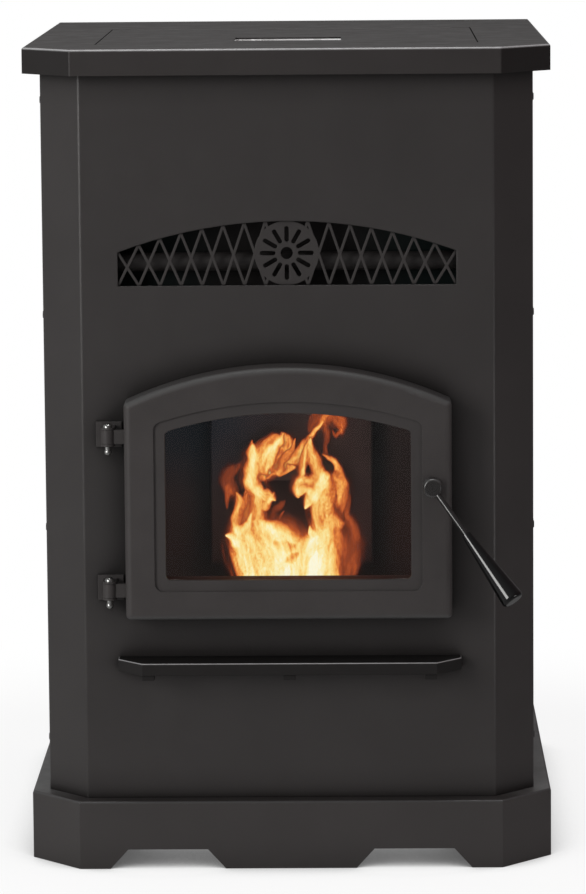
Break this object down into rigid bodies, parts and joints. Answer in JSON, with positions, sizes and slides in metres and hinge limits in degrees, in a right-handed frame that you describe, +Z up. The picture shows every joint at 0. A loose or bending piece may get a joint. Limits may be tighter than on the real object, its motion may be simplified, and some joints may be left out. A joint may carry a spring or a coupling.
{
  "type": "pellet stove",
  "caption": "Cabinet pellet stove with an arched window door, arched air grille, lift handle, ash lip, overhanging cap with hopper lid, and pedestal base; fuel feed, blowers and firebox inside.",
  "frame": {"origin": "on the floor under the middle of the stove's bounding box", "axes": "+Z up, the door faces -Y, +X to the right seen from the front"},
  "size_m": [0.61, 0.8246, 0.955],
  "materials": {
    "cabinet_paint": "satin",
    "grille_paint": "satin",
    "zinc_sheet": "satin",
    "firebox_steel": "matte",
    "cast_iron": "satin",
    "glass": "gloss",
    "rope": "matte",
    "soft_seal": "matte",
    "bright_steel": "satin",
    "knob_plastic": "gloss",
    "machine_paint": "satin",
    "fan_metal": "satin",
    "control_plastic": "matte",
    "board": "satin"
  },
  "bodies": {
    "cabinet": {"pedestal_base": "cabinet_paint", "floor_plate": "zinc_sheet", "front_panel": "cabinet_paint", "left_side_panel": "cabinet_paint", "right_side_panel": "cabinet_paint", "rear_panel": "zinc_sheet", "joint_strips": "zinc_sheet", "top_cap": "cabinet_paint", "outlet_grille": "grille_paint", "air_deflector": "grille_paint", "ash_lip": "cabinet_paint", "firebox_shell": "firebox_steel", "rear_liner": "firebox_steel", "baffle_plate": "firebox_steel", "heat_exchanger_tubes": "firebox_steel", "outlet_plenum": "zinc_sheet", "air_jacket": "zinc_sheet", "exhaust_duct": "zinc_sheet", "burn_pot": "cast_iron", "burn_pot_stand": "firebox_steel", "ash_pan": "firebox_steel", "igniter": "bright_steel", "hopper_tray": "zinc_sheet", "hopper": "zinc_sheet", "auger_tube": "zinc_sheet", "auger_gearbox": "machine_paint", "auger_motor": "machine_paint", "pellet_chute": "zinc_sheet", "exhaust_housing": "zinc_sheet", "exhaust_motor": "machine_paint", "flue_collar": "zinc_sheet", "air_intake_pipe": "zinc_sheet", "convection_housing": "zinc_sheet", "convection_motor": "machine_paint", "control_panel": "control_plastic", "control_board": "board", "power_inlet": "control_plastic", "lid_hinge_fixed": "bright_steel", "door_hinge_brackets": "cast_iron", "door_hinge_pins": "bright_steel", "latch_keeper": "cast_iron", "cabinet_screws": "bright_steel"},
    "door": {"door_frame": "cast_iron", "door_glass": "glass", "glass_gasket": "rope", "glass_clips": "bright_steel", "door_rope": "rope"},
    "latch": {"latch_hub": "cast_iron", "latch_cam": "bright_steel", "handle_rod": "bright_steel", "handle_knob": "knob_plastic"},
    "lid": {"hopper_lid": "cabinet_paint", "lid_pull": "bright_steel", "lid_gasket": "soft_seal", "lid_hinge_moving": "bright_steel"},
    "auger": {"auger_screw": "bright_steel"},
    "exhaust_fan": {"exhaust_impeller": "fan_metal"},
    "convection_fan": {"convection_wheel": "fan_metal"},
    "dial": {"control_knob": "knob_plastic"},
    "button": {"power_button": "control_plastic"}
  },
  "joints": [
    {"name": "door_hinge", "type": "hinge", "parent": "cabinet", "child": "door", "pos_m": [-0.2073, -0.30973, 0.5096], "axis": [0, 0, -1], "range_deg": [0, 115]},
    {"name": "handle_turn", "type": "hinge", "parent": "door", "child": "latch", "pos_m": [0.1656, -0.33273, 0.4534], "axis": [0, -1, 0], "range_deg": [-30, 60]},
    {"name": "lid_hinge", "type": "hinge", "parent": "cabinet", "child": "lid", "pos_m": [0, 0.14527, 0.9525], "axis": [-1, 0, 0], "range_deg": [0, 85]},
    {"name": "auger_turn", "type": "hinge", "parent": "cabinet", "child": "auger", "pos_m": [0, 0.03027, 0.545], "axis": [0, 0.6428, -0.766], "continuous": true},
    {"name": "exhaust_fan_spin", "type": "hinge", "parent": "cabinet", "child": "exhaust_fan", "pos_m": [0.178, 0.11227, 0.268], "axis": [1, 0, 0], "continuous": true},
    {"name": "convection_fan_spin", "type": "hinge", "parent": "cabinet", "child": "convection_fan", "pos_m": [-0.18, 0.08427, 0.33], "axis": [1, 0, 0], "continuous": true},
    {"name": "dial_turn", "type": "hinge", "parent": "cabinet", "child": "dial", "pos_m": [0.285, 0.21227, 0.78], "axis": [1, 0, 0], "range_deg": [-135, 135]},
    {"name": "power_press", "type": "slide", "parent": "cabinet", "child": "button", "axis": [-1, 0, 0], "range_m": [0, 0.0025], "stiffness_N_per_m": 400, "springref_m": -0.001}
  ]
}
